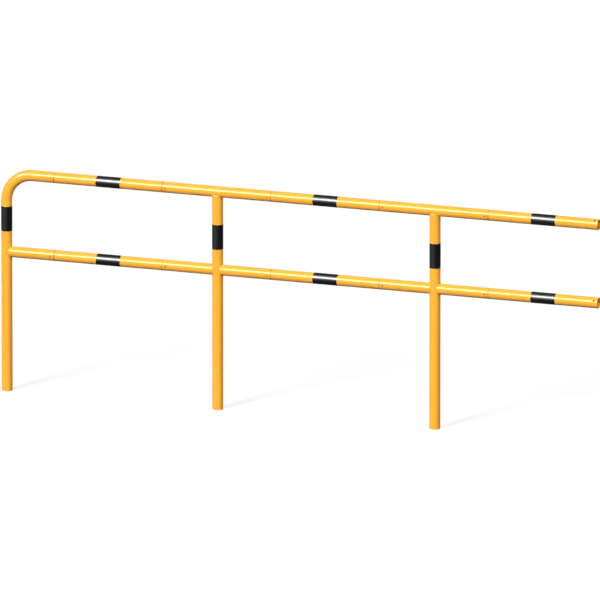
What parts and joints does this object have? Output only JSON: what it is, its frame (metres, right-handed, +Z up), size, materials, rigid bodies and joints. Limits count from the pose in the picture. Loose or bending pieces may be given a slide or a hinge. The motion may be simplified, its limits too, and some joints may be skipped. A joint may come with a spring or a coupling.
{
  "type": "industrial guard rail",
  "caption": "Modular guard rail of round yellow steel tube with black bands: a bent end post, posts welded under the top rail, a knee rail, and open ends for the next module.",
  "frame": {"origin": "centre of the box's base, level with the posts' feet and in the rail's centre plane", "axes": "+X along the rails from the bent end post to the open ends, -Y to the front, +Z up"},
  "size_m": [2.7504, 0.0492, 1.0006],
  "materials": {
    "yellow_coating": "gloss powder coat over steel tube",
    "black_film": "satin black marking film",
    "zinc_plating": "zinc-plated turned steel",
    "screw_steel": "dull steel"
  },
  "bodies": {
    "root": {"end_post": "yellow_coating", "end_knee_stub": "yellow_coating", "post_1": "yellow_coating", "post_2": "yellow_coating", "top_tube_1": "yellow_coating", "top_tube_2": "yellow_coating", "knee_stub_left_1": "yellow_coating", "knee_stub_right_1": "yellow_coating", "knee_stub_left_2": "yellow_coating", "knee_stub_right_2": "yellow_coating", "connecting_tube_top_1": "yellow_coating", "rail_band_top_1": "black_film", "connecting_tube_knee_1": "yellow_coating", "rail_band_knee_1": "black_film", "connecting_tube_top_2": "yellow_coating", "rail_band_top_2": "black_film", "connecting_tube_knee_2": "yellow_coating", "rail_band_knee_2": "black_film", "connecting_tube_top_3": "yellow_coating", "rail_band_top_3": "black_film", "connecting_tube_knee_3": "yellow_coating", "rail_band_knee_3": "black_film", "end_post_band": "black_film", "post_band_1": "black_film", "post_band_2": "black_film", "sleeve_top_1": "zinc_plating", "grub_screw_left_top_1": "screw_steel", "grub_screw_right_top_1": "screw_steel", "sleeve_knee_1": "zinc_plating", "grub_screw_left_knee_1": "screw_steel", "grub_screw_right_knee_1": "screw_steel", "sleeve_top_2": "zinc_plating", "grub_screw_left_top_2": "screw_steel", "grub_screw_right_top_2": "screw_steel", "sleeve_knee_2": "zinc_plating", "grub_screw_left_knee_2": "screw_steel", "grub_screw_right_knee_2": "screw_steel", "sleeve_top_3": "zinc_plating", "grub_screw_left_top_3": "screw_steel", "grub_screw_right_top_3": "screw_steel", "sleeve_knee_3": "zinc_plating", "grub_screw_left_knee_3": "screw_steel", "grub_screw_right_knee_3": "screw_steel", "sleeve_top_4": "zinc_plating", "grub_screw_left_top_4": "screw_steel", "grub_screw_right_top_4": "screw_steel", "sleeve_knee_4": "zinc_plating", "grub_screw_left_knee_4": "screw_steel", "grub_screw_right_knee_4": "screw_steel", "sleeve_top_5": "zinc_plating", "grub_screw_left_top_5": "screw_steel", "grub_screw_right_top_5": "screw_steel", "sleeve_knee_5": "zinc_plating", "grub_screw_left_knee_5": "screw_steel", "grub_screw_right_knee_5": "screw_steel"}
  },
  "joints": []
}
